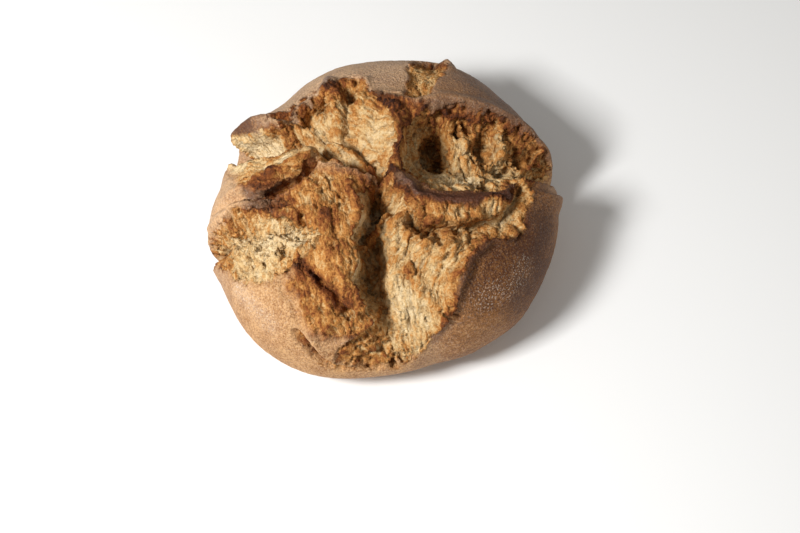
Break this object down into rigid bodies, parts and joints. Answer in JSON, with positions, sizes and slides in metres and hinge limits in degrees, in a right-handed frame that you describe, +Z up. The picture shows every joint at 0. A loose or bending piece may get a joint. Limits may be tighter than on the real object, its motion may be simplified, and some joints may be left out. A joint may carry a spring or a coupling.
{
  "type": "sourdough loaf",
  "caption": "Round rustic sourdough loaf whose baked crust has burst open on top into deep ragged tears of crumb, on a flat base.",
  "frame": {"origin": "middle of the flat base, on the plane the loaf stands on", "axes": "+Z up through the top of the loaf, -Y towards the side the picture was taken from, +X to its right"},
  "size_m": [0.2366, 0.2347, 0.1127],
  "materials": {
    "baked crust": "matte"
  },
  "bodies": {
    "root": {"loaf": "baked crust"}
  },
  "joints": []
}
